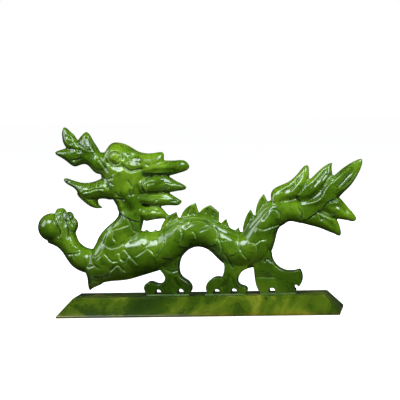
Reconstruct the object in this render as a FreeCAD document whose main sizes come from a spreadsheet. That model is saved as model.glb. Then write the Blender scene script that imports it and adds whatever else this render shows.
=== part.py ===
"""Jade dragon on a bevelled jade base.

The figurine is a flat slab carving: a Chinese dragon that walks towards -X, worked alike on
both faces, with its feet glued on a low base.  Millimetres, +Z up.  The origin is the centre
of the base's underside, X runs from the pearl to the tail and Y through the slab.
"""
import FreeCAD, Part
import math
import os
from FreeCAD import Placement, Rotation, Vector

doc = FreeCAD.newDocument("jade_dragon")

# ------------------------------------------------------------------ driving dimensions
SIZES = [
    ("base_length", 173.0, "base, along X at the underside"),
    ("base_depth", 48.0, "base, along Y at the underside"),
    ("base_height", 11.4, "underside to the flat top"),
    ("base_edge", 1.2, "upright band below the bevels"),
    ("end_bevel", 9.5, "run of the bevel at each end"),
    ("side_bevel", 9.0, "run of the bevel at front and back"),
    ("glue_film", 0.3, "adhesive between a sole and the base"),
    ("glue_bead", 0.7, "height of the squeezed-out adhesive"),
    ("glue_spread", 0.7, "how far the adhesive runs past a sole"),
    ("torso_thickness", 24.0, "body, through the slab"),
    ("head_thickness", 24.0, "skull over the cheeks"),
    ("snout_thickness", 15.0, "upper jaw and nose"),
    ("jaw_thickness", 15.0, "lower jaw"),
    ("mane_thickness", 16.0, "mane flames at their roots"),
    ("tail_thickness", 13.0, "tail flames at their roots"),
    ("arm_thickness", 16.0, "raised foreleg"),
    ("finger_thickness", 13.0, "fingers round the pearl"),
    ("foot_thickness", 13.0, "standing legs and feet"),
    ("fin_thickness", 4.6, "dorsal fins"),
    ("toe_hole", 4.0, "drilled gap between two toes, diameter"),
    ("pearl_size", 17.5, "pearl, diameter"),
]
sheet = doc.addObject("Spreadsheet::Sheet", "sizes")
for row, (alias, value, meaning) in enumerate(SIZES, start=1):
    sheet.set(f"A{row}", alias)
    sheet.set(f"B{row}", str(value))
    sheet.setAlias(f"B{row}", alias)
    sheet.set(f"C{row}", meaning)
doc.recompute()

RIB_POINTS = 8            # points on one oval rib
SOLE = sheet.base_height + sheet.glue_film


# ------------------------------------------------------------------ ways of making a part
def rib(first, second, half_thickness):
    """Oval through two points of the outline, square to the slab."""
    low = Vector(first[0], 0, first[1])
    high = Vector(second[0], 0, second[1])
    centre = (low + high) * 0.5
    reach = (high - low) * 0.5
    points = []
    for step in range(RIB_POINTS):
        angle = 2 * math.pi * step / RIB_POINTS
        points.append(centre + reach * math.cos(angle) + Vector(0, half_thickness * math.sin(angle), 0))
    oval = Part.BSplineCurve()
    oval.interpolate(points, PeriodicFlag=True)
    return Part.Wire(oval.toShape())


def limb(name, thickness, ribs):
    """Rounded limb through ribs; each is (outline point, facing outline point, share of thickness)."""
    half = sheet.getPropertyByName(thickness) / 2
    wires = [rib(first, second, share * half) for first, second, share in ribs]
    feature = doc.addObject("Part::Feature", name)
    feature.Shape = Part.makeLoft(wires, True)
    return feature


def stroke(points):
    """One stretch of an outline: a line through two points, an arc through three, else a spline."""
    spots = [Vector(x, z, 0) for x, z in points]
    if len(spots) == 2:
        return Part.LineSegment(*spots)
    if len(spots) == 3:
        return Part.Arc(*spots)
    curve = Part.BSplineCurve()
    curve.interpolate(spots)
    return curve


def plate(name, thickness, strokes, lean=0.0):
    """Flat piece of the slab: a closed outline in XZ, padded both ways; lean moves it along Y."""
    body = doc.addObject("PartDesign::Body", name)
    outline = body.newObject("Sketcher::SketchObject", name + "_outline")
    plane = next(item for item in body.Origin.OriginFeatures if item.Role == "XZ_Plane")
    outline.AttachmentSupport = (plane, [""])
    outline.MapMode = "FlatFace"
    start = strokes[0][0]
    ends = [points[0] for points in strokes[1:]] + [start]
    for points, end in zip(strokes, ends):
        joined = points if points[-1] == end else points + [end]
        outline.addGeometry(stroke(joined), False)
    pad = body.newObject("PartDesign::Pad", name + "_pad")
    pad.Profile = outline
    pad.SideType = "Symmetric"
    pad.setExpression("Length", f"sizes.{thickness}")
    body.Placement = Placement(Vector(0, lean, 0), Rotation())
    return body


def join(label, pieces):
    """One block of stone: each piece is fused on to the ones before it."""
    joined = pieces[0]
    for piece in pieces[1:]:
        both = doc.addObject("Part::Fuse", f"{label}_with_{piece.Name}")
        both.Base = joined
        both.Tool = piece
        both.Refine = False
        joined = both
    joined.Label = label
    return joined


# ------------------------------------------------------------------ base
def make_base():
    """Slab with an upright edge and a bevel on all four sides."""
    edge = doc.addObject("Part::Box", "base_band")
    edge.setExpression("Length", "sizes.base_length")
    edge.setExpression("Width", "sizes.base_depth")
    edge.setExpression("Height", "sizes.base_edge")
    edge.setExpression("Placement.Base.x", "-sizes.base_length / 2")
    edge.setExpression("Placement.Base.y", "-sizes.base_depth / 2")
    top = doc.addObject("Part::Wedge", "base_bevels")
    spans = {
        "Xmin": "-sizes.base_length / 2", "Xmax": "sizes.base_length / 2",
        "Ymin": "sizes.base_edge", "Ymax": "sizes.base_height",
        "Zmin": "-sizes.base_depth / 2", "Zmax": "sizes.base_depth / 2",
        "X2min": "-sizes.base_length / 2 + sizes.end_bevel",
        "X2max": "sizes.base_length / 2 - sizes.end_bevel",
        "Z2min": "-sizes.base_depth / 2 + sizes.side_bevel",
        "Z2max": "sizes.base_depth / 2 - sizes.side_bevel",
    }
    for name, expression in spans.items():
        top.setExpression(name, expression)
    top.Placement = Placement(Vector(0, 0, 0), Rotation(Vector(1, 0, 0), 90))
    base = doc.addObject("Part::Fuse", "base")
    base.Base = edge
    base.Tool = top
    base.Refine = True
    return base


# ------------------------------------------------------------------ dragon: body and tail
def make_body():
    """Torso from the chest over the back to the long middle flame of the tail."""
    torso = limb("torso", "torso_thickness", [
        ((-70.5, 24), (-70.5, 36), 0.60),
        ((-66, 18.6), (-66, 40.5), 0.86),
        ((-57, 19.8), (-58, 49), 0.96),
        ((-46.6, 20.6), (-46, 50), 1.0),
        ((-36, 23.2), (-35.7, 50.9), 1.0),
        ((-24.6, 26.5), (-26, 50.6), 1.0),
        ((-14.5, 31), (-18.5, 55.3), 1.0),
        ((-7.7, 38), (-10.5, 59), 0.98),
        ((-1, 40.5), (-2, 60.1), 0.96),
        ((6.5, 37.8), (8, 57.8), 0.97),
        ((12.5, 31.8), (16, 53.4), 1.0),
        ((19.5, 27.5), (22.5, 50.1), 1.0),
        ((29, 26.6), (26.8, 49.2), 1.0),
        ((43.4, 35.4), (30.5, 54.3), 0.96),
        ((48.8, 50.4), (36.5, 61.2), 0.84),
        ((52.5, 53.4), (44.5, 68.4), 0.74),
        ((57, 55.2), (56, 69.4), 0.66),
        ((66.9, 53.6), (64, 71), 0.62),
        ((75, 59), (71, 74), 0.60),
        ((82.5, 65), (77.5, 78.6), 0.56),
        ((88.1, 71.3), (84, 83.1), 0.48),
        ((92.7, 75.6), (88.4, 86.7), 0.38),
        ((97, 81.3), (94.2, 90.4), 0.26),
        ((100, 87), (98.6, 92.4), 0.14),
        ((101.1, 91.2), (100.6, 92.8), 0.05),
    ])
    neck = limb("neck", "torso_thickness", [
        ((-63.5, 42), (-34, 40), 0.84),
        ((-60.4, 50.5), (-36, 50.8), 0.88),
        ((-53.7, 56.6), (-34.9, 55), 0.84),
        ((-50.1, 60.4), (-34, 60), 0.82),
        ((-50.3, 66), (-33.5, 67), 0.84),
        ((-53, 71.2), (-34, 74), 0.88),
    ])
    tuft = limb("elbow_tuft", "arm_thickness", [
        ((-70.3, 22), (-60.6, 19.2), 0.90),
        ((-70, 18.4), (-64.5, 17), 0.62),
        ((-69.7, 16.2), (-67.2, 15.8), 0.36),
        ((-69.1, 14.4), (-68.5, 14.4), 0.10),
    ])
    return [torso, neck, tuft]


def make_tail():
    """Two flames above the long middle one and two below it."""
    upper_inner = limb("tail_flame_1", "tail_thickness", [
        ((49, 60), (44.6, 70), 1.0),
        ((54, 65), (47.4, 75.9), 1.0),
        ((61, 69), (54, 78.7), 0.96),
        ((66.5, 75.5), (60.1, 83), 0.80),
        ((68.2, 81.6), (63.7, 87.1), 0.56),
        ((68.4, 86.2), (65.8, 89.1), 0.30),
        ((68.3, 88.6), (67.2, 89.6), 0.10),
    ])
    upper_outer = limb("tail_flame_2", "tail_thickness", [
        ((66, 62), (60, 74), 1.0),
        ((74, 70), (67, 79.5), 0.96),
        ((80.5, 77.5), (72.6, 84.2), 0.80),
        ((82.6, 82.8), (77, 88), 0.56),
        ((82.2, 86.9), (80, 89.8), 0.30),
        ((82.9, 90.2), (82.2, 90.7), 0.08),
    ])
    lower_outer = limb("tail_flame_4", "tail_thickness", [
        ((72, 56), (76, 72), 0.96),
        ((84.2, 56.6), (86, 69.6), 0.84),
        ((88.5, 55.6), (90.2, 65.1), 0.66),
        ((92.6, 54.7), (94, 60.6), 0.42),
        ((95.4, 54.6), (96.2, 57.7), 0.20),
        ((96.5, 55.4), (96.7, 56.2), 0.06),
    ])
    lower_inner = limb("tail_flame_5", "tail_thickness", [
        ((63, 54.4), (68, 65), 0.96),
        ((68.6, 52.4), (73, 63.6), 0.92),
        ((73.4, 51), (78, 62), 0.86),
        ((80.6, 48), (84.5, 56.3), 0.64),
        ((84.3, 46.3), (86.5, 51.6), 0.40),
        ((86.3, 45.8), (87.1, 48.4), 0.20),
        ((87, 46.5), (87.1, 47), 0.06),
    ])
    return [upper_inner, upper_outer, lower_outer, lower_inner]


# ------------------------------------------------------------------ dragon: head
def make_skull():
    """Skull with its cheeks and brow, and the upper jaw that ends in a crown of three lobes."""
    skull = limb("skull", "head_thickness", [
        ((-57, 72), (-34.5, 72), 0.84),
        ((-60, 77.5), (-33, 78), 0.96),
        ((-59.8, 84.6), (-32, 86), 1.0),
        ((-60.8, 91), (-30.5, 91.5), 0.98),
        ((-60.2, 96), (-31, 96.5), 0.86),
    ])
    brow = limb("brow", "head_thickness", [
        ((-59.5, 90), (-59.4, 98.5), 0.50),
        ((-56.5, 89), (-56.2, 101.6), 0.74),
        ((-53.4, 88), (-53.2, 105), 0.86),
        ((-49.3, 88), (-49.2, 105.6), 0.90),
        ((-43.5, 88), (-43.4, 103.9), 0.84),
        ((-38.4, 88), (-38.4, 100.8), 0.74),
        ((-33.7, 89), (-33.7, 98.6), 0.60),
    ])
    snout = limb("upper_jaw", "snout_thickness", [
        ((-55, 84), (-54, 102), 1.2),
        ((-60.5, 86.4), (-60, 99.8), 1.1),
        ((-65.2, 89), (-65, 102), 1.0),
        ((-70.2, 92.8), (-71.5, 104), 0.94),
        ((-75.6, 91.4), (-76, 104), 0.88),
        ((-79, 92.9), (-80, 103.4), 0.76),
        ((-84.2, 96.9), (-84, 102.1), 0.52),
        ((-86.9, 98.4), (-87.2, 101.2), 0.28),
        ((-88.4, 99.7), (-88.4, 100.3), 0.08),
    ])
    front_lobe = limb("crown_lobe_1", "snout_thickness", [
        ((-80, 97), (-70, 101), 0.86),
        ((-81.6, 103.8), (-74, 107.4), 0.78),
        ((-83.2, 107), (-75.4, 109.7), 0.66),
        ((-83.7, 110.5), (-76.8, 111.7), 0.52),
        ((-83.6, 112.9), (-79.2, 113.9), 0.36),
        ((-82.9, 115.3), (-81.1, 115.6), 0.18),
        ((-82.6, 115.9), (-82.3, 115.9), 0.06),
    ])
    rear_lobe = limb("crown_lobe_2", "snout_thickness", [
        ((-73.4, 97.2), (-61, 96.4), 0.88),
        ((-74.6, 105.5), (-60.6, 100.8), 0.86),
        ((-73.2, 108.5), (-63, 105), 0.66),
        ((-71.3, 110.7), (-65.2, 108.9), 0.44),
        ((-69.7, 112.2), (-66.9, 111.7), 0.22),
        ((-69, 112.7), (-68.3, 112.7), 0.06),
    ])
    return [skull, brow, snout, front_lobe, rear_lobe]


def make_jaw():
    """Lower jaw with the tongue's tip, and the beard that hooks back below it."""
    jaw = limb("lower_jaw", "jaw_thickness", [
        ((-50, 74), (-50.5, 83), 1.1),
        ((-60.3, 71.2), (-61.7, 82.8), 1.06),
        ((-66.5, 70), (-66.5, 81.4), 0.96),
        ((-71.5, 71), (-71.5, 81.2), 0.84),
        ((-74.5, 75), (-75, 82), 0.64),
        ((-77.4, 78.4), (-78, 83), 0.46),
        ((-80.6, 80.2), (-80.4, 84), 0.34),
        ((-82.8, 82), (-82.4, 84.4), 0.20),
        ((-83.5, 83.2), (-83.3, 84), 0.08),
    ])
    beard = limb("beard", "jaw_thickness", [
        ((-74.3, 76), (-63, 75), 0.74),
        ((-74, 72.4), (-62.3, 71), 0.68),
        ((-70.3, 68.9), (-62.4, 69.4), 0.58),
        ((-65.6, 65.9), (-61.7, 67.4), 0.44),
        ((-61.6, 65.3), (-60.4, 66.4), 0.26),
        ((-59.5, 65.7), (-59.3, 66), 0.08),
    ])
    return [jaw, beard]


def make_mane():
    """Ear, horn and three mane flames that stream back from the head."""
    ear = limb("ear", "mane_thickness", [
        ((-43, 86), (-43, 103), 1.2),
        ((-36, 86), (-36, 99.6), 1.06),
        ((-29, 86), (-28.9, 98.6), 0.84),
        ((-23, 88), (-23.7, 99.3), 0.56),
        ((-21, 93.6), (-21.2, 99), 0.30),
        ((-20.6, 96.6), (-20.7, 98.2), 0.12),
    ])
    horn = limb("horn", "mane_thickness", [
        ((-38, 84), (-38, 96), 1.0),
        ((-28, 84.4), (-28, 95), 0.84),
        ((-19.5, 84.4), (-20, 94.1), 0.66),
        ((-13, 85.7), (-13, 94), 0.54),
        ((-8.4, 87), (-8.4, 93.9), 0.38),
        ((-5.9, 88.2), (-6.2, 92.5), 0.20),
        ((-5, 89.7), (-5, 90.5), 0.06),
    ])
    flame_1 = limb("mane_flame_1", "mane_thickness", [
        ((-37, 72), (-37, 86), 1.04),
        ((-28, 73.5), (-28, 85.4), 0.92),
        ((-19, 74.3), (-18.2, 84.2), 0.72),
        ((-14, 74.9), (-13, 81), 0.50),
        ((-10.2, 75.4), (-9.3, 79.2), 0.30),
        ((-8, 76), (-7.6, 78), 0.16),
        ((-7.15, 76.9), (-7.1, 77.3), 0.05),
    ])
    flame_2 = limb("mane_flame_2", "mane_thickness", [
        ((-38, 64), (-38, 76), 1.04),
        ((-29, 65.6), (-28, 74.6), 0.90),
        ((-22.5, 66), (-19.2, 74.3), 0.68),
        ((-17, 66.3), (-15.4, 72.3), 0.46),
        ((-12.9, 66.2), (-12.2, 70.3), 0.26),
        ((-10.3, 68.2), (-10.1, 69.1), 0.07),
    ])
    flame_3 = limb("mane_flame_3", "mane_thickness", [
        ((-42, 57), (-42, 68), 1.1),
        ((-33.5, 57.2), (-33, 67), 0.92),
        ((-27.5, 57.7), (-24.5, 66), 0.68),
        ((-23, 58.1), (-21.6, 63.7), 0.44),
        ((-20, 58.8), (-19.3, 61.2), 0.20),
        ((-18.7, 60.2), (-18.5, 60.6), 0.06),
    ])
    return [ear, horn, flame_1, flame_2, flame_3]


# ------------------------------------------------------------------ dragon: raised foreleg
def make_arm():
    """Raised foreleg whose three fingers hold a pearl up in front of the chest."""
    arm = limb("foreleg", "arm_thickness", [
        ((-64, 22), (-60, 45), 1.2),
        ((-71.8, 25.6), (-67.6, 40.4), 1.06),
        ((-79.8, 30.2), (-72.5, 42.4), 1.0),
        ((-84.4, 37), (-75.8, 46.2), 0.96),
        ((-88, 41.2), (-77, 50.4), 0.90),
        ((-91.2, 43.1), (-79, 54), 0.80),
        ((-94.8, 44.6), (-84, 57), 0.62),
    ])
    fingers = [
        limb("finger_1", "finger_thickness", [
            ((-89.5, 45), (-80, 50), 1.0),
            ((-88.5, 54), (-81.5, 56), 0.96),
            ((-89, 60), (-82, 61), 0.80),
            ((-89.2, 63.6), (-82.6, 64.4), 0.52),
            ((-87.6, 65.7), (-84.6, 66), 0.14),
        ]),
        limb("finger_2", "finger_thickness", [
            ((-86, 45), (-77.4, 50), 1.0),
            ((-84.5, 54), (-77.2, 55), 0.98),
            ((-82.8, 60), (-77.8, 60.2), 0.76),
            ((-81.9, 62.8), (-78.6, 62.6), 0.44),
            ((-80.9, 63.7), (-79.9, 63.7), 0.14),
        ]),
        limb("finger_3", "finger_thickness", [
            ((-84, 43), (-76.8, 48), 1.0),
            ((-81.5, 52), (-76.5, 52), 0.96),
            ((-79.5, 57), (-75.3, 55.8), 0.76),
            ((-77.9, 59.2), (-75.8, 58), 0.40),
            ((-77.2, 59.6), (-76.5, 59.2), 0.14),
        ]),
    ]
    pearl = doc.addObject("Part::Sphere", "pearl")
    pearl.setExpression("Radius", "sizes.pearl_size / 2")
    pearl.Placement = Placement(Vector(-91.7, 0, 54.1), Rotation(Vector(1, 0, 0), 90))
    return [arm, pearl] + fingers


# ------------------------------------------------------------------ dragon: fins and feet
def make_fins():
    """Dorsal fins along the back, from the shoulder to the root of the tail."""
    outlines = [
        [[(-34.6, 49.2), (-32.7, 52)], [(-32.7, 52), (-30.6, 49.6)], [(-30.6, 49.6), (-34.6, 49.2)]],
        [[(-29.4, 49.4), (-27.4, 52)], [(-27.4, 52), (-25.4, 49.8)], [(-25.4, 49.8), (-29.4, 49.4)]],
        [[(-24, 50), (-21.7, 56.6), (-13.8, 62.3)], [(-13.8, 62.3), (-12, 56)], [(-12, 56), (-24, 50)]],
        [[(-11.5, 57), (-8.6, 63.7), (-1.7, 67.4)], [(-1.7, 67.4), (0.6, 59)], [(0.6, 59), (-11.5, 57)]],
        [[(-1, 58), (2.4, 63.8), (7.4, 66)], [(7.4, 66), (12.6, 61.7)], [(12.6, 61.7), (12.2, 54)],
         [(12.2, 54), (-1, 58)]],
        [[(12.5, 54), (16.8, 57.6)], [(16.8, 57.6), (19.4, 50)], [(19.4, 50), (12.5, 54)]],
        [[(21, 49), (24.4, 52.4)], [(24.4, 52.4), (25.6, 47)], [(25.6, 47), (21, 49)]],
        [[(27, 47), (28.4, 57), (32, 63.2)], [(32, 63.2), (35, 57)], [(35, 57), (27, 47)]],
        [[(35, 58), (36.2, 66), (40.3, 72.3)], [(40.3, 72.3), (44, 64)], [(44, 64), (35, 58)]],
    ]
    return [plate(f"fin_{number}", "fin_thickness", strokes)
            for number, strokes in enumerate(outlines, start=1)]


def make_feet():
    """Three standing feet with clawed toes, and the round gaps drilled between the toes."""
    front = plate("front_foot", "foot_thickness", [
        [(-25, 34), (-23.4, 26), (-21.3, 22.4), (-23.5, 18.8)],
        [(-23.5, 18.8), (-27.4, 18.4), (-31.1, 19.6), (-34.2, 17.6), (-34.4, 15.2), (-32.2, SOLE)],
        [(-32.2, SOLE), (-7.2, SOLE)],
        [(-7.2, SOLE), (-5.4, 15.6), (-7.4, 19.2), (-11.8, 22.6), (-13.1, 27.8), (-11.5, 34)],
        [(-11.5, 34), (-18, 44)],
        [(-18, 44), (-25, 34)],
    ])
    middle = plate("middle_foot", "foot_thickness", [
        [(13, 36), (15.4, 26), (13.5, 21.5)],
        [(13.5, 21.5), (8.4, 21.6), (4.4, 17.8), (3.9, 15.2), (4.8, 13.4)],
        [(4.8, 13.4), (3.9, SOLE)],
        [(3.9, SOLE), (27.6, SOLE)],
        [(27.6, SOLE), (29.1, 14), (27, 16.1)],
        [(27, 16.1), (23.2, 19.6), (24.4, 23), (30, 27)],
        [(30, 27), (28, 40)],
        [(28, 40), (13, 36)],
    ], lean=-1.5)
    rear = plate("rear_foot", "foot_thickness", [
        [(31, 34), (33.6, 26), (34.3, 19), (37.6, SOLE)],
        [(37.6, SOLE), (58.4, SOLE)],
        [(58.4, SOLE), (59, 13.4)],
        [(59, 13.4), (57.8, 15.4), (59.4, 16.9)],
        [(59.4, 16.9), (61, 15.4)],
        [(61, 15.4), (62.9, 20), (61.2, 26.1)],
        [(61.2, 26.1), (55, 24.9), (49.6, 26.5), (45.6, 30.5), (44.2, 36)],
        [(44.2, 36), (38, 46)],
        [(38, 46), (31, 34)],
    ])
    feet = []
    toe_gaps = {
        front: [(-25.8, 13.0), (-11.9, 13.2)],
        middle: [(10.6, 12.9), (21.2, 13.1)],
        rear: [(44.4, 13.1)],
    }
    for foot, gaps in toe_gaps.items():
        drills = [toe_drill(f"{foot.Name}_gap_{number}", x, z)
                  for number, (x, z) in enumerate(gaps, start=1)]
        cut = doc.addObject("Part::Cut", foot.Name + "_drilled")
        cut.Base = foot
        cut.Tool = drills[0]
        if len(drills) > 1:
            both = doc.addObject("Part::MultiFuse", foot.Name + "_gaps")
            both.Shapes = drills
            cut.Tool = both
        feet.append(cut)
    return feet


def toe_drill(name, x, z):
    """Round tool that runs through the slab along Y."""
    drill = doc.addObject("Part::Cylinder", name)
    drill.setExpression("Radius", "sizes.toe_hole / 2")
    drill.setExpression("Height", "sizes.foot_thickness * 2")
    drill.Placement = Placement(Vector(x, sheet.foot_thickness, z), Rotation(Vector(1, 0, 0), 90))
    return drill


# ------------------------------------------------------------------ adhesive
def make_bed(name, foot, first, last, lean=0.0):
    """Adhesive under one foot: the film and the low bead squeezed out around the sole."""
    wedge = doc.addObject("Part::Wedge", name + "_spread")
    run = sheet.glue_bead * 0.8
    half = sheet.foot_thickness / 2
    edge = sheet.glue_spread
    wedge.Xmin, wedge.Xmax = first - edge, last + edge
    wedge.X2min, wedge.X2max = first - edge + run, last + edge - run
    wedge.Zmin, wedge.Zmax = -half - edge, half + edge
    wedge.Z2min, wedge.Z2max = -half - edge + run, half + edge - run
    wedge.setExpression("Ymin", "sizes.base_height")
    wedge.setExpression("Ymax", "sizes.base_height + sizes.glue_bead")
    wedge.Placement = Placement(Vector(0, lean, 0), Rotation(Vector(1, 0, 0), 90))
    bed = doc.addObject("Part::Cut", name)
    bed.Base = wedge
    bed.Tool = foot
    return bed


base = make_base()
feet = make_feet()
carved = make_body() + make_tail() + make_skull() + make_jaw() + make_mane() + make_arm() + make_fins()
dragon = join("dragon", carved + feet)
beds = [
    make_bed("front_foot_adhesive", feet[0], -32.2, -7.2),
    make_bed("middle_foot_adhesive", feet[1], 3.9, 27.6, lean=-1.5),
    make_bed("rear_foot_adhesive", feet[2], 37.6, 58.4),
]
subparts = [base, dragon] + beds
doc.recompute()

# ------------------------------------------------------------------ checks and files
for item in doc.Objects:
    if "Invalid" in item.State or "Error" in item.State:
        raise RuntimeError(f"{item.Name} failed: {item.State}")
for item in subparts:
    if item.Shape.isNull() or not item.Shape.isValid():
        raise RuntimeError(f"{item.Label} has no valid shape")

os.makedirs("parts", exist_ok=True)
for item in subparts:
    item.Shape.exportStep(f"parts/{item.Label}.step")
    box = item.Shape.BoundBox
    print(item.Label, len(item.Shape.Solids), "solid", round(item.Shape.Volume), "mm3",
          [round(value, 2) for value in (box.XMin, box.YMin, box.ZMin, box.XMax, box.YMax, box.ZMax)])
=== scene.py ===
"""Looks of the jade dragon: the carving, its polish and its stone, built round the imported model."""

import math
import bmesh
import bpy
import numpy as np
from mathutils import Matrix, Vector


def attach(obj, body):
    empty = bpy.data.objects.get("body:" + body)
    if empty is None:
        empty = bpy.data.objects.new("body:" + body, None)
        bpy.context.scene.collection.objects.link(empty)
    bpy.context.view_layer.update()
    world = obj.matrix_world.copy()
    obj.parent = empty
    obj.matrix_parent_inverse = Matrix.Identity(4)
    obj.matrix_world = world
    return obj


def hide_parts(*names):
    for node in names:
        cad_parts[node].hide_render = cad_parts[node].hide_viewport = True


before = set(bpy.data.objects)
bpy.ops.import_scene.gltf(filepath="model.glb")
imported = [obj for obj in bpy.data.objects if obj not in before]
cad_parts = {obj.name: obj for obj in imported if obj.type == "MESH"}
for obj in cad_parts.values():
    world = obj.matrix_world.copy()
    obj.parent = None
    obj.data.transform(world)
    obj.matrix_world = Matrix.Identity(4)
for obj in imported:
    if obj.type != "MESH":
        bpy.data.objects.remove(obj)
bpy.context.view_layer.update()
scene = bpy.context.scene
scene.view_settings.view_transform = "Standard"

MM = 0.001                              # the carving is worked in mm, the scene is in metres

# carving, mm
VOXEL = 0.42                            # mesh size of the carved stone
FIRST_POLISH = 8                        # smoothing passes before the details are cut
LAST_POLISH = 1                         # smoothing passes after them
DEPTH_SPAN = 1.5                        # depth of relief at either end of the painted shade and light over the relief

# base, metres
WELD = 0.00001                          # vertices closer than this are one
FLAT_ANGLE = 0.01                       # faces that meet at less than this are one, radians
BAND_TOP = 0.005                        # above the sawn band, below the flat top
EASE = 0.0006                           # width of the polished-down top edges
BAND_EASE = 0.25                        # the lower edges' share of that width

# stone
EDGE_HIGHLIGHT_SHARE = 0.24                       # how far the painted highlight along carved edges turns the stone pale
# pale green of the painted highlight along carved edges
EDGE_HIGHLIGHT_COLOUR = (0.30, 0.42, 0.20, 1)
POLISHED_STONE = {
    "IOR": 1.62,
    "Subsurface Weight": 0.25,
    "Subsurface Radius": (0.5, 1.0, 0.15),
    "Subsurface Scale": 0.003,
    "Coat Weight": 0.6,
    "Coat Roughness": 0.04,
}

# studio, metres
FLOOR_REACH = 6.0                       # from the middle of the floor to its edges
FLOOR_GAP = 0.0002                      # the floor lies this far below the base
LAMP_TARGET = (0, 0, 0.06)
LAMP_TINT = (0.88, 0.96, 1.0)
AMBIENT = 0.10                          # light from all round
AMBIENT_GLOSS = 0.02                    # the same as the polish mirrors it, nearly dark
AMBIENT_TINT = (0.9, 0.95, 1.0, 1)
LENS = 188.7                            # mm, on a sensor 36 mm wide
VIEWPOINT = (0.1461, -1.2771, 0.1428)
AIM = (0.001, 0, 0.0693)
CAMERA_ROLL = -1.44                     # degrees


# ------------------------------------------------------------------ mesh helpers
def link(obj):
    scene.collection.objects.link(obj)
    return obj


def evaluated(obj, name):
    """Mesh of obj with its modifiers applied."""
    bpy.context.view_layer.update()
    graph = bpy.context.evaluated_depsgraph_get()
    mesh = bpy.data.meshes.new_from_object(obj.evaluated_get(graph))
    mesh.name = name
    return mesh


def smoothed(mesh, passes):
    """Mesh after smoothing passes."""
    holder = link(bpy.data.objects.new("holder", mesh))
    smooth = holder.modifiers.new("polish", "SMOOTH")
    smooth.factor = 0.5
    smooth.iterations = passes
    result = evaluated(holder, mesh.name)
    bpy.data.objects.remove(holder)
    return result


def stone_block(node, voxel):
    """The node's solid in millimetres as one even mesh, ready to carve."""
    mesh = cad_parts[node].data.copy()
    mesh.transform(Matrix.Scale(1 / MM, 4))
    mesh.materials.clear()
    holder = link(bpy.data.objects.new("holder", mesh))
    voxels = holder.modifiers.new("voxels", "REMESH")
    voxels.mode = "VOXEL"
    voxels.voxel_size = voxel
    voxels.use_smooth_shade = True
    block = evaluated(holder, node + "_carved")
    bpy.data.objects.remove(holder)
    return block


def smoothstep(low, high, value):
    """0 below low and 1 above high, with an even turn between them."""
    share = np.clip((value - low) / (high - low), 0, 1)
    return share * share * (3 - 2 * share)


def curve_through(points, steps=6):
    """Smooth line through points in XZ (Catmull-Rom)."""
    knots = np.array(points, float)
    if len(knots) < 3:
        return knots
    padded = np.vstack([2 * knots[0] - knots[1], knots, 2 * knots[-1] - knots[-2]])
    line = []
    for before, start, end, after in zip(padded, padded[1:], padded[2:], padded[3:]):
        for share in np.arange(steps) / steps:
            line.append(0.5 * (2 * start + (end - before) * share
                               + (2 * before - 5 * start + 4 * end - after) * share ** 2
                               + (3 * start - before - 3 * end + after) * share ** 3))
    line.append(knots[-1])
    return np.array(line)


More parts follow.
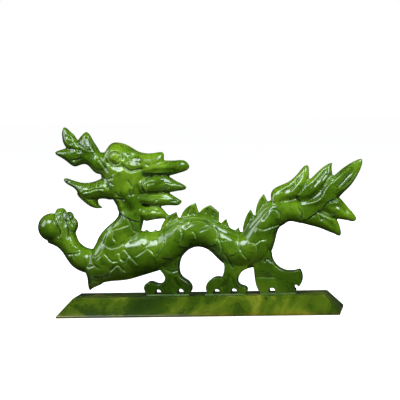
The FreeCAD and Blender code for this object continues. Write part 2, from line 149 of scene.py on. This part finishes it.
class Relief:
    """Depth cut into both faces of the slab, collected by stroke and then applied at once."""

    def __init__(self, mesh):
        self.mesh = mesh
        count = len(mesh.vertices)
        points = np.empty(count * 3, np.float32)
        normals = np.empty(count * 3, np.float32)
        mesh.vertices.foreach_get("co", points)
        mesh.vertex_normals.foreach_get("vector", normals)
        self.points = points.reshape(-1, 3).astype(float)
        self.normals = normals.reshape(-1, 3).astype(float)
        self.plan = self.points[:, [0, 2]]
        # height is the carved depth, which the material also turns into painted shade and light
        self.height = np.zeros(count)
        # edge marks where a painted highlight runs along the carved rims
        self.edge = np.zeros(count)

    def near(self, line, reach):
        """Vertices in the box round a line."""
        low = line.min(0) - reach
        high = line.max(0) + reach
        return np.flatnonzero(np.all((self.plan >= low) & (self.plan <= high), axis=1))

    def measure(self, points, reach):
        """Vertices near a line, with their distance, their side and the share of the way along."""
        line = curve_through(points)
        chosen = self.near(line, reach)
        spots = self.plan[chosen]
        best = np.full(len(chosen), np.inf)
        side = np.zeros(len(chosen))
        along = np.zeros(len(chosen))
        last = len(line) - 1
        for number, (start, end) in enumerate(zip(line, line[1:])):
            run = end - start
            share = np.clip((spots - start) @ run / (run @ run), 0, 1)
            gap = spots - start - share[:, None] * run
            distance = np.hypot(gap[:, 0], gap[:, 1])
            closer = distance < best
            best[closer] = distance[closer]
            turn = run[0] * (spots[:, 1] - start[1]) - run[1] * (spots[:, 0] - start[0])
            side[closer] = np.sign(turn[closer])
            along[closer] = (number + share[closer]) / last
        return chosen, best, side, along

    def groove(self, points, width=1.0, depth=0.7):
        """V cut along a line, fading at its two ends."""
        chosen, distance, _, along = self.measure(points, width)
        ends = smoothstep(0, 0.12, along) * smoothstep(0, 0.12, 1 - along)
        self.height[chosen] -= depth * (0.25 + 0.75 * ends) * np.clip(1 - distance / width, 0, 1)
        # painted highlight along the groove's shoulders
        painted_rim_highlight = 0.6 * ends * np.clip(1 - np.abs(distance - width) / 0.5, 0, 1)
        self.edge[chosen] = np.maximum(self.edge[chosen], painted_rim_highlight)

    def hollow(self, points, width=3.0, depth=1.0):
        """Round channel along a line."""
        chosen, distance, _, along = self.measure(points, width)
        ends = smoothstep(0, 0.25, along) * smoothstep(0, 0.25, 1 - along)
        self.height[chosen] -= depth * ends * smoothstep(0, 1, 1 - distance / width)

    def ridge(self, points, width=1.5, rise=0.5):
        """Raised rib along a line."""
        self.hollow(points, width, -rise)

    def ledge(self, points, rise=0.65, reach=4.0, cut=0.45):
        """Free edge of a scale: stone to the left of the line stands proud and drops at it."""
        chosen, distance, side, along = self.measure(points, reach)
        ends = smoothstep(0, 0.1, along) * smoothstep(0, 0.1, 1 - along)
        lifted = np.clip(1 - distance / reach, 0, 1)
        sunk = np.clip(1 - distance / 1.3, 0, 1)
        self.height[chosen] += ends * np.where(side > 0, rise * lifted, -cut * sunk)
        # painted highlight along the scale's raised rim
        painted_rim_highlight = np.where(side > 0, ends * np.clip(1 - distance / 0.7, 0, 1), 0)
        self.edge[chosen] = np.maximum(self.edge[chosen], painted_rim_highlight)

    def dome(self, centre, radius, rise):
        """Round boss, or a dish when rise is negative."""
        chosen = self.near(np.array([centre], float), radius)
        distance = np.linalg.norm(self.plan[chosen] - centre, axis=1) / radius
        self.height[chosen] += rise * np.sqrt(np.clip(1 - distance ** 2, 0, 1))

    def apply(self):
        """Moves the vertices, and keeps depth and edge as attributes for the material, which paints
        shade into the cuts, light onto the raised relief and a highlight along the rims from them.
        """
        facing = smoothstep(0.05, 0.45, np.abs(self.normals[:, 1]))
        moved = self.points + self.normals * (self.height * facing)[:, None]
        for name, values in (("depth", self.height), ("edge", self.edge)):
            field = self.mesh.attributes.new(name, "FLOAT", "POINT")
            field.data.foreach_set("value", (values * facing).astype(np.float32))
        self.mesh.vertices.foreach_set("co", moved.astype(np.float32).ravel())
        self.mesh.update()


# ------------------------------------------------------------------ materials
def set_inputs(node, values):
    for name, value in values.items():
        node.inputs[name].default_value = value


def new_material(name):
    material = bpy.data.materials.new(name)
    material.use_nodes = True
    tree = material.node_tree
    return material, tree.nodes, tree.links, tree.nodes["Principled BSDF"]


def noise_field(nodes, links, coordinates, scale, detail=4.0, roughness=0.55, distortion=0.0):
    noise = nodes.new("ShaderNodeTexNoise")
    set_inputs(noise, {"Scale": scale, "Detail": detail, "Roughness": roughness,
                       "Distortion": distortion})
    links.new(coordinates, noise.inputs["Vector"])
    return noise.outputs["Fac"]


def colour_ramp(nodes, links, factor, stops):
    ramp = nodes.new("ShaderNodeValToRGB")
    elements = ramp.color_ramp.elements
    while len(elements) < len(stops):
        elements.new(0.5)
    for element, (position, colour) in zip(elements, stops):
        element.position = position
        element.color = (*colour, 1)
    links.new(factor, ramp.inputs["Fac"])
    return ramp.outputs["Color"]


def mix_colour(nodes, links, factor, first, second, mode="MIX"):
    mix = nodes.new("ShaderNodeMix")
    mix.data_type = "RGBA"
    mix.blend_type = mode
    for socket, value in ((mix.inputs[0], factor), (mix.inputs[6], first), (mix.inputs[7], second)):
        if isinstance(value, (int, float, tuple)):
            socket.default_value = value
        else:
            links.new(value, socket)
    return mix.outputs[2]


def map_range(nodes, links, value, low=0.0, high=1.0, to_low=0.0, to_high=1.0):
    """Value carried from the range low to high over to the range to_low to to_high."""
    span = nodes.new("ShaderNodeMapRange")
    set_inputs(span, {"From Min": low, "From Max": high, "To Min": to_low, "To Max": to_high})
    links.new(value, span.inputs["Value"])
    return span.outputs["Result"]


def mesh_attribute(nodes, name):
    attribute = nodes.new("ShaderNodeAttribute")
    attribute.attribute_name = name
    return attribute.outputs["Fac"]


def jade(name, tones, vein, flecked, cloud_scale, shade_and_tint_heights, shade_and_tint_tones):
    """Polished jade: cloudy green stone and dark flecks under a wet gloss, with a painted highlight
    along carved edges and painted shade and light over the relief.

    Over a range of heights in metres, a ramp of tones is multiplied into the stone: painted shade
    towards the dragon's feet, and the base's real brown tint along its lower edge.
    """
    material, nodes, links, shader = new_material(name)
    place = nodes.new("ShaderNodeTexCoord").outputs["Object"]

    clouds = noise_field(nodes, links, place, cloud_scale, 5.0, 0.6, 0.6)
    colour = colour_ramp(nodes, links, clouds, tones)
    flecks = noise_field(nodes, links, place, cloud_scale * 6, 3.0, 0.6)
    fleck_mask = colour_ramp(nodes, links, flecks,
                             [(0.56, (0, 0, 0)), (0.72, (flecked, flecked, flecked))])
    colour = mix_colour(nodes, links, fleck_mask, colour, (*vein, 1))

    # painted shade and light from the carved depth: cuts darken, raised relief lightens
    depth = map_range(nodes, links, mesh_attribute(nodes, "depth"), -DEPTH_SPAN, DEPTH_SPAN)
    shade = colour_ramp(nodes, links, depth, [(0.10, (0.42, 0.45, 0.38)),
                                              (0.44, (0.93, 0.93, 0.93)),
                                              (0.8, (1.04, 1.03, 1.0))])
    colour = mix_colour(nodes, links, 1.0, colour, shade, "MULTIPLY")
    # painted highlight: the edge attribute turns the carved rims pale
    painted_edge_highlight = map_range(nodes, links, mesh_attribute(nodes, "edge"), to_high=EDGE_HIGHLIGHT_SHARE)
    colour = mix_colour(nodes, links, painted_edge_highlight, colour, EDGE_HIGHLIGHT_COLOUR)

    # tones over a range of heights: painted shade on the dragon, a real tint on the base
    height = nodes.new("ShaderNodeSeparateXYZ")
    links.new(place, height.inputs[0])
    rise = map_range(nodes, links, height.outputs["Z"], *shade_and_tint_heights)
    shade_and_tint = colour_ramp(nodes, links, rise, shade_and_tint_tones)
    colour = mix_colour(nodes, links, 1.0, colour, shade_and_tint, "MULTIPLY")
    links.new(colour, shader.inputs["Base Color"])

    grain = noise_field(nodes, links, place, cloud_scale * 12, 2.0, 0.5)
    gloss = map_range(nodes, links, grain, to_low=0.10, to_high=0.24)
    links.new(gloss, shader.inputs["Roughness"])
    bump = nodes.new("ShaderNodeBump")
    set_inputs(bump, {"Strength": 0.05, "Distance": 0.0004})
    links.new(noise_field(nodes, links, place, 220, 2.0, 0.5), bump.inputs["Height"])
    links.new(bump.outputs["Normal"], shader.inputs["Normal"])
    set_inputs(shader, POLISHED_STONE)
    return material


def make_dragon_jade():
    """The dragon's stone, with painted shade that darkens it towards its feet."""
    return jade(
        "dragon_jade",
        tones=[(0.30, (0.014, 0.036, 0.001)), (0.48, (0.042, 0.092, 0.002)),
               (0.62, (0.085, 0.160, 0.005)), (0.78, (0.150, 0.230, 0.012))],
        vein=(0.022, 0.048, 0.001), flecked=0.9, cloud_scale=34.0,
        # painted shade: darker up to 44 mm high, at its darkest below 16 mm
        shade_and_tint_heights=(0.016, 0.044), shade_and_tint_tones=[(0.0, (0.40, 0.43, 0.38)), (1.0, (1, 1, 1))])


def make_base_jade():
    """The base's stone, more mottled, with a brown tint along its lower edge."""
    return jade(
        "base_jade",
        tones=[(0.34, (0.010, 0.024, 0.001)), (0.47, (0.022, 0.046, 0.001)),
               (0.58, (0.050, 0.080, 0.003)), (0.70, (0.140, 0.150, 0.012))],
        vein=(0.018, 0.034, 0.001), flecked=0.45, cloud_scale=44.0,
        shade_and_tint_heights=(0.0005, 0.003), shade_and_tint_tones=[(0.0, (1.5, 0.85, 0.8)), (1.0, (0.85, 0.85, 0.85))])


def make_adhesive():
    """Set adhesive over green stone, dull at its surface."""
    material, nodes, links, shader = new_material("adhesive")
    place = nodes.new("ShaderNodeTexCoord").outputs["Object"]
    haze = noise_field(nodes, links, place, 300.0)
    colour = colour_ramp(nodes, links, haze, [(0.35, (0.014, 0.032, 0.003)),
                                              (0.75, (0.05, 0.085, 0.02))])
    links.new(colour, shader.inputs["Base Color"])
    set_inputs(shader, {"Roughness": 0.35, "Coat Weight": 0.1})
    return material


# ------------------------------------------------------------------ carving strokes
def carve_body(cut):
    """Large overlapping scales from the chest to the tail, and the band under the fins."""
    free_edges = [
        [(-42, 55), (-47, 53.6), (-53.5, 51.4)],
        [(-50, 44.4), (-52, 47.4), (-51.2, 51.6)],
        [(-45.8, 44), (-49.6, 41.4), (-54, 41), (-57.6, 43)],
        [(-49.2, 33), (-53.4, 33.2), (-57.6, 38)],
        [(-44.4, 26.2), (-46.8, 27.8), (-49.8, 30.4), (-55.6, 25.4)],
        [(-42.4, 36.2), (-44.6, 33.2), (-47.6, 34.2), (-48, 38.4)],
        [(-36.8, 30.4), (-40.4, 34.4), (-45.6, 40.8)],
        [(-26, 36), (-30.6, 40.2), (-34.6, 37.8), (-38.6, 35.4)],
        [(-26.8, 33.4), (-23.4, 38.2), (-21.2, 42), (-20.4, 46.8), (-22.6, 51)],
        [(-32.8, 41.6), (-30.6, 44.8), (-32.8, 49.4)],
        [(-42.4, 44.2), (-38.4, 46), (-37.2, 49.6), (-40, 51.6)],
        [(-11.4, 43.6), (-9.4, 47.4), (-10, 51.4), (-12.6, 54.6)],
        [(-22.6, 35.4), (-19, 34.9), (-15.4, 34.2)],
        [(-11.8, 42), (-8.4, 41.6), (-5.4, 41.4)],
        [(-0.9, 45.8), (-1.2, 48.4), (-2.6, 50.8)],
        [(6.8, 41), (11, 43.2), (12.5, 46.6), (12.2, 50.4), (9.6, 54.2)],
        [(13.4, 34.4), (14.7, 38.4), (14.2, 42.6), (12.5, 46.6)],
        [(18.2, 35.3), (22.4, 36.6), (25.6, 39.6), (25.4, 44), (24.2, 49)],
        [(29.8, 33.4), (27.6, 36.2), (25.8, 39.4)],
        [(42.6, 44.8), (38.4, 44.2), (35.6, 42.4), (31, 44)],
        [(35.4, 36.4), (36.2, 39.4), (35.6, 42.4)],
        [(50, 53.6), (45.6, 52.2), (40.4, 50.8), (35.6, 52.2)],
        [(49.6, 56.4), (50.4, 59.4), (48.8, 62), (45.2, 63.4)],
    ]
    for edge in free_edges:
        cut.ledge(edge)
    creases = [
        [(-7.4, 53), (-5.4, 55), (-3.4, 57.6)],
        [(1, 50.6), (5, 52.4), (8.6, 54)],
        [(15, 45), (17.2, 45.2)],
        [(22, 26.8), (19.8, 30.6), (18, 34.2), (16.4, 37)],
        [(-44.4, 33.2), (-45.8, 30.6)],
        [(-55, 27.2), (-51.6, 30.2)],
        [(-64.6, 36.2), (-64.6, 32), (-60.6, 28.6)],
        [(-68.4, 29.8), (-64.4, 30.6)],
        [(-62.8, 34), (-60.2, 37)],
        [(-65.4, 23.6), (-61, 22.4)],
        [(-60, 22), (-55, 25.4)],
        [(40.4, 57), (43.4, 61.6)],
    ]
    for crease in creases:
        cut.groove(crease, 1.0, 0.7)
    cut.groove([(-22.4, 50.6), (-14, 55), (-5, 57.6), (3, 57.4), (9, 54.2), (15, 50.6),
                (22, 47.4)], 1.1, 0.8)
    cut.groove([(26.6, 46.4), (32, 52.4), (38, 59), (44.6, 64.8)], 1.1, 0.8)


def carve_neck(cut):
    """Belly band from the arm up the front of the neck, and the mane's edge over the neck."""
    cut.ledge([(-44.8, 62.6), (-46.6, 57.6), (-51, 54.4), (-54.8, 52.4), (-56.2, 48.6),
               (-58.6, 41.4),
               (-60.6, 37.6), (-64.4, 36), (-68.4, 40.6)], 0.7, 3.0, 0.5)
    cut.groove([(-47.8, 63.6), (-52.2, 56), (-57.4, 51)], 1.0, 0.7)
    cut.ledge([(-51.5, 66), (-47.2, 62.6), (-43, 60), (-39.6, 58.2), (-34.9, 57)], 0.7, 3.5, 1.0)
    cut.groove([(-41.8, 58.6), (-40.2, 55), (-39.8, 51.8)], 1.0, 0.6)


def carve_head(cut):
    """Coiled eye, brow, cheek, and the three lobes of the nose."""
    turns = np.linspace(-0.25 * math.pi, 1.9 * math.pi, 11)
    eye_x, eye_z = -49.6, 97
    coil = [(eye_x + (3.2 + 0.2 * turn) * math.cos(turn),
             eye_z + (3.0 + 0.2 * turn) * math.sin(turn))
            for turn in turns]
    cut.dome((eye_x, eye_z), 2.7, 0.7)
    cut.groove(coil, 0.9, 0.9)
    cut.groove([(-54.9, 95.2), (-55, 98.4), (-53, 101.4)], 0.9, 0.6)
    cut.groove([(-46.8, 100.2), (-45.2, 97.8), (-44.6, 95.4)], 0.9, 0.6)
    cut.groove([(-55.8, 95.8), (-54.2, 93.8), (-51, 91.6)], 1.0, 0.9)
    cut.hollow([(-53, 93.4), (-48, 91.4), (-43, 92.6)], 3.4, 1.0)
    cut.groove([(-45, 92.8), (-42.6, 90.2), (-40, 88.5), (-36.6, 88.8), (-32.2, 89.9)], 1.2, 1.1)
    cut.ridge([(-43, 93.8), (-39.6, 91.8), (-35.6, 91.2), (-32, 92)], 2.2, 0.6)
    cut.groove([(-42.2, 98.8), (-39.8, 98.8), (-37.4, 97.4)], 0.9, 0.6)
    cut.groove([(-41, 97.2), (-39.2, 96)], 0.9, 0.5)
    cut.groove([(-31.4, 92.6), (-29.2, 91.2)], 0.9, 0.7)
    cut.groove([(-19.9, 92), (-17.4, 94.9)], 1.0, 0.9)
    cut.dome((-45, 81), 8.0, 0.5)
    cut.hollow([(-48, 72), (-43, 67.6), (-38.4, 62)], 4.5, 1.2)
    cut.ridge([(-51, 74), (-48, 69.4), (-46.4, 64)], 1.8, 0.5)
    cut.groove([(-42.2, 82.8), (-40.4, 80.8), (-39.6, 78.2)], 1.0, 0.9)
    cut.groove([(-41.2, 76.6), (-40.6, 73.2)], 1.0, 0.6)
    cut.hollow([(-37.8, 80.6), (-35.2, 76.6), (-34.2, 72.6)], 2.6, 0.8)
    cut.groove([(-49.4, 75.4), (-47.3, 72.7)], 0.9, 0.7)
    cut.groove([(-49.4, 72.2), (-47, 71), (-44.2, 70.8)], 0.9, 0.8)
    cut.groove([(-60, 96.4), (-57.2, 92.6), (-54.4, 88.4)], 1.0, 0.9)
    cut.ridge([(-64.6, 99.6), (-61.4, 98.6), (-59.2, 94.6)], 2.2, 0.7)
    cut.ledge([(-64.6, 101), (-67.6, 101.8), (-71, 103.8), (-75.6, 106.8), (-80, 110.4)], 0.5, 2.4,
              0.7)
    cut.hollow([(-79.6, 103), (-75.4, 102.4), (-70.4, 101.2)], 1.8, 0.8)
    cut.groove([(-77.2, 95.3), (-74, 95.9), (-71, 96.8)], 0.9, 0.9)
    cut.groove([(-78.4, 114.2), (-75, 110.4)], 0.9, 0.6)
    cut.hollow([(-67.6, 110.4), (-68, 106.4), (-66.6, 102.4)], 2.2, 0.9)
    cut.groove([(-64.9, 108.8), (-61.5, 103.4)], 0.9, 0.6)
    cut.hollow([(-80.6, 112.4), (-79, 107.4), (-76.8, 104.4)], 1.8, 0.5)
    cut.dome((-76, 93.6), 1.6, 0.4)


def carve_jaws(cut):
    """Teeth, lips and beard of the lower jaw, and the folds at the corner of the mouth."""
    cut.ledge([(-56.8, 76.9), (-61.6, 77.3), (-66, 76.1), (-71, 75)], 0.6, 2.0, 0.8)
    cut.groove([(-68.2, 71.3), (-62.8, 71.3)], 0.9, 0.7)
    for gap in ([(-66.2, 81.4), (-66.4, 77.6)], [(-61.2, 82.4), (-61, 78.8)],
                [(-71.4, 79.6), (-72, 76.6)]):
        cut.groove(gap, 1.0, 0.9)
    cut.groove([(-58.8, 85.6), (-56.4, 83.6), (-54.6, 80.6), (-54.8, 77.4)], 1.0, 0.9)
    cut.groove([(-54.4, 83.6), (-51.2, 84.6)], 0.9, 0.6)
    cut.groove([(-53.6, 81.8), (-50.6, 80)], 0.9, 0.6)
    cut.hollow([(-81.6, 82.8), (-78.4, 82), (-75, 80.6)], 1.3, 0.5)


def carve_mane(cut):
    """Coiled ear, and the flames of the mane with a dark line between each two."""
    for line in ([(-34, 85.8), (-27, 85.4), (-17, 85.4)], [(-31.6, 74.4), (-26, 74.4), (-18, 75)],
                 [(-30.6, 66.8), (-26, 67), (-21.6, 66.6)]):
        cut.groove(line, 1.4, 0.8)
    cut.groove([(-28, 84.4), (-31.4, 83), (-33.6, 80.4), (-33.6, 77.2), (-32, 74.6)], 1.1, 1.1)
    cut.groove([(-26.2, 80.4), (-29.2, 80.6), (-31, 79), (-30.6, 77)], 0.9, 0.7)
    cut.groove([(-22.8, 75.2), (-18.4, 79.4)], 0.8, 0.7)
    cut.groove([(-20.8, 75.8), (-17, 78.6)], 0.8, 0.6)
    cut.groove([(-28.4, 67.4), (-26.4, 69.4), (-24.2, 70.8)], 0.9, 0.8)
    cut.groove([(-17, 69.3), (-12.8, 69)], 0.9, 0.6)
    cut.hollow([(-27, 78), (-20, 81.6), (-13, 79.4)], 2.0, 0.5)
    cut.hollow([(-32, 70.6), (-24, 72.4), (-15, 71)], 1.8, 0.5)
    cut.hollow([(-35, 63), (-28, 63.6), (-21.5, 61.8)], 1.8, 0.5)
    cut.hollow([(-30, 87.6), (-20, 88.4), (-11, 88)], 1.8, 0.5)


def carve_arm(cut):
    """Fingers that wrap the pearl, and creases over the wrist and elbow."""
    cut.ledge([(-89.2, 64), (-88, 59.6), (-86.2, 55), (-84.8, 51), (-86.6, 47.4)], 0.8, 2.8, 1.1)
    cut.groove([(-83.2, 65), (-83, 59.4), (-80.8, 53), (-80.6, 46.6)], 1.1, 1.0)
    cut.groove([(-80, 63.2), (-78.4, 58.6), (-76.4, 55.2)], 1.1, 1.0)
    for knuckle in ([(-87.4, 62), (-84, 62.6)], [(-82.4, 58.4), (-79.4, 57.6)],
                    [(-79.6, 52), (-77, 51.2)]):
        cut.groove(knuckle, 0.9, 0.6)
    cut.ridge([(-79.2, 46.4), (-77.4, 42.6), (-73, 40.6)], 1.8, 0.6)
    cut.groove([(-81.6, 37.4), (-77.8, 37.8), (-73.6, 38.6)], 1.0, 0.7)
    cut.groove([(-77, 37.6), (-76.4, 34.8)], 0.9, 0.5)


def carve_tail(cut):
    """Valley under the upper flames, rib of the long flame and strokes along each flame."""
    cut.hollow([(47, 69.4), (60, 68.6), (68, 69.2), (74, 71.8), (79, 76.4), (82.4, 80.6)], 3.4, 1.0)
    cut.ridge([(62, 66.6), (70, 66.4), (76, 69), (78.6, 74.4), (83, 79), (89, 83.6), (96, 89.4)],
              2.2, 1.0)
    cut.ledge([(64.4, 55.6), (70, 59), (75.2, 62.8), (80, 67.4), (86, 70)], 0.6, 3.0, 0.9)
    cut.groove([(73.6, 61.4), (79.4, 58.4), (84.6, 56.8)], 1.1, 0.9)
    cut.groove([(62.8, 56.6), (64, 60), (62, 63.6)], 1.0, 0.7)
    cut.ledge([(68.8, 83), (66, 76.6), (61.4, 70.8)], 0.7, 2.8, 0.8)
    cut.ledge([(83.2, 84), (79.2, 79.6), (75.2, 73)], 0.7, 2.8, 0.8)
    for stroke in ([(50.6, 72.6), (56, 75), (61.4, 80), (66, 87)],
                   [(69, 74.6), (74.4, 80.6), (80.8, 88.4)],
                   [(84.6, 74.6), (91, 80.8), (97.6, 90)], [(79.4, 64.2), (86.6, 64), (93.4, 59)],
                   [(72.4, 57.4), (78.6, 55.8), (85, 49.6)]):
        cut.hollow(stroke, 2.4, 0.7)
    for stroke in ([(51.4, 73.4), (55.2, 75.8)], [(57.4, 74.2), (59.8, 77.4)],
                   [(60.4, 79.2), (61.8, 82)],
                   [(73.2, 80.2), (78, 86.2)], [(76.2, 80), (79.4, 84)],
                   [(86.4, 76), (90.4, 80.6), (94.6, 84.6)],
                   [(88.2, 75), (93.2, 79.6), (97, 85.4)], [(82, 78.4), (88.4, 84.2)],
                   [(81, 66.8), (86, 68)], [(74.6, 59.4), (76.2, 55.6)]):
        cut.groove(stroke, 0.9, 0.6)


def carve_feet(cut):
    """Sinews down the standing feet to the toes, and the cuff of scales over each ankle."""
    for stroke in ([(-17.6, 25), (-19.4, 19), (-24, 15)], [(-17, 24), (-13.8, 18.4), (-10, 15.6)],
                   [(19, 25), (17, 19), (11.6, 15)], [(20.4, 23), (21.6, 18), (25.4, 14.4)]):
        cut.hollow(stroke, 1.9, 0.6)
    cut.groove([(35.6, 22), (41, 22.2), (46.6, 21.6)], 1.1, 0.7)
    cut.groove([(39.4, 30.6), (42, 33), (45.4, 30.2)], 1.0, 0.7)
    cut.groove([(-21, 28.2), (-16.6, 25.8), (-12.6, 27.4)], 1.0, 0.6)


def carve_fins(cut):
    """Rays on the dorsal fins."""
    for ray in ([(-20, 54.4), (-17, 60)], [(-7, 60.2), (-5, 65.6)], [(-3.4, 60), (-2.6, 65)],
                [(4, 60.6), (6, 64.6)],
                [(8.4, 58.6), (9.8, 63)], [(15.6, 53), (16.6, 56.6)], [(30.4, 53), (31.8, 61)],
                [(38.4, 63), (40, 70.6)]):
        cut.hollow(ray, 1.4, 0.6)


# ------------------------------------------------------------------ base
def make_base():
    """The base with its sawn edges eased by polishing."""
    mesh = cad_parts["base"].data.copy()
    outline = bmesh.new()
    outline.from_mesh(mesh)
    bmesh.ops.remove_doubles(outline, verts=outline.verts, dist=WELD)
    bmesh.ops.dissolve_limit(outline, angle_limit=FLAT_ANGLE, verts=outline.verts,
                             edges=outline.edges)
    eased_edge = outline.edges.layers.float.new("bevel_weight_edge")
    for edge in outline.edges:
        top = max(vert.co.z for vert in edge.verts)
        edge[eased_edge] = 1.0 if top > BAND_TOP else BAND_EASE
    outline.to_mesh(mesh)
    outline.free()
    holder = link(bpy.data.objects.new("holder", mesh))
    ease = holder.modifiers.new("ease", "BEVEL")
    ease.width = EASE
    ease.segments = 3
    ease.limit_method = "WEIGHT"
    eased = evaluated(holder, "base_eased")
    bpy.data.objects.remove(holder)
    eased.materials.clear()
    eased.materials.append(make_base_jade())
    eased.shade_smooth()
    return link(bpy.data.objects.new("jade_base", eased))


# ------------------------------------------------------------------ dragon
def make_dragon():
    """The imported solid, remeshed, polished, carved on both faces and polished again."""
    block = smoothed(stone_block("dragon", VOXEL), FIRST_POLISH)
    relief = Relief(block)
    for carve in (carve_body, carve_neck, carve_head, carve_jaws, carve_mane, carve_arm,
                  carve_tail, carve_feet, carve_fins):
        carve(relief)
    relief.apply()
    mesh = smoothed(block, LAST_POLISH)
    mesh.transform(Matrix.Scale(MM, 4))
    mesh.shade_smooth()
    mesh.materials.append(make_dragon_jade())
    return link(bpy.data.objects.new("jade_dragon", mesh))


# ------------------------------------------------------------------ stage, lights and camera
def make_floor():
    """White ground that takes the soft shadow and isn't mirrored in the polish."""
    corners = [(x * FLOOR_REACH, y * FLOOR_REACH, 0)
               for x, y in ((-1, -1), (1, -1), (1, 1), (-1, 1))]
    mesh = bpy.data.meshes.new("floor")
    mesh.from_pydata(corners, [], [(0, 1, 2, 3)])
    floor = link(bpy.data.objects.new("floor", mesh))
    floor.location.z = -FLOOR_GAP
    material, _, _, shader = new_material("floor_white")
    set_inputs(shader, {"Base Color": (0.3, 0.3, 0.3, 1), "Roughness": 1.0,
                        "Specular IOR Level": 0.0, "Emission Color": (1, 1, 1, 1),
                        "Emission Strength": 0.96})
    mesh.materials.append(material)
    floor.visible_glossy = False
    floor.visible_diffuse = False


def area_light(name, direction, distance, size, power, glossy=True):
    """Panel lamp, distance away from the figurine; glossy says whether the polish mirrors it."""
    light = bpy.data.lights.new(name, "AREA")
    light.shape = "RECTANGLE"
    light.size, light.size_y = size
    light.energy = power
    light.color = LAMP_TINT
    lamp = link(bpy.data.objects.new(name, light))
    lamp.location = Vector(LAMP_TARGET) + Vector(direction).normalized() * distance
    lamp.rotation_euler = Vector(direction).to_track_quat("Z", "Y").to_euler()
    lamp.visible_glossy = glossy


def make_world():
    """White behind the figurine, and a dim tinted studio to light it and to mirror."""
    world = bpy.data.worlds.new("studio")
    world.use_nodes = True
    nodes = world.node_tree.nodes
    links = world.node_tree.links
    nodes.clear()
    out = nodes.new("ShaderNodeOutputWorld")
    seen = nodes.new("ShaderNodeBackground")
    seen.inputs["Color"].default_value = (1, 1, 1, 1)
    ambient = nodes.new("ShaderNodeBackground")
    ambient.inputs["Color"].default_value = AMBIENT_TINT
    path = nodes.new("ShaderNodeLightPath")
    strength = nodes.new("ShaderNodeMapRange")
    strength.inputs["To Min"].default_value = AMBIENT
    strength.inputs["To Max"].default_value = AMBIENT_GLOSS
    links.new(path.outputs["Is Glossy Ray"], strength.inputs["Value"])
    links.new(strength.outputs["Result"], ambient.inputs["Strength"])
    mix = nodes.new("ShaderNodeMixShader")
    links.new(path.outputs["Is Camera Ray"], mix.inputs[0])
    links.new(ambient.outputs[0], mix.inputs[1])
    links.new(seen.outputs[0], mix.inputs[2])
    links.new(mix.outputs[0], out.inputs["Surface"])
    scene.world = world


def make_camera():
    """Long lens, a little to the right and a little above, with a slight hand-held tilt."""
    camera = bpy.data.cameras.new("camera")
    camera.sensor_width = 36
    camera.lens = LENS
    camera.clip_end = 20
    eye = link(bpy.data.objects.new("camera", camera))
    eye.location = VIEWPOINT
    turn = (eye.location - Vector(AIM)).to_track_quat("Z", "Y")
    roll = Matrix.Rotation(math.radians(CAMERA_ROLL), 3, "Z")
    eye.rotation_euler = (turn.to_matrix() @ roll).to_euler()
    scene.camera = eye


# ------------------------------------------------------------------ the scene
dragon = make_dragon()
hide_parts("dragon")
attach(dragon, "root")

base = make_base()
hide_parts("base")
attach(base, "root")

adhesive = make_adhesive()
for node in ("front_foot_adhesive", "middle_foot_adhesive", "rear_foot_adhesive"):
    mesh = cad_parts[node].data
    mesh.materials.clear()
    mesh.materials.append(adhesive)

make_floor()
make_world()
make_camera()
area_light("left_softbox", (-0.87, -0.30, 0.40), 0.60, (0.30, 0.40), 1.35)
area_light("top_softbox", (-0.36, -0.60, 0.74), 0.70, (0.30, 0.30), 2.2)
area_light("right_softbox", (0.50, -0.56, 0.66), 0.70, (0.24, 0.34), 1.9)
area_light("top_key", (0.40, -0.65, 0.72), 0.90, (0.5, 0.5), 18, glossy=False)
area_light("front_fill", (0.1, -1.0, 0.15), 1.00, (0.8, 0.6), 2, glossy=False)
area_light("back_fill", (-0.2, 1.0, 0.55), 1.00, (0.8, 0.6), 18, glossy=False)
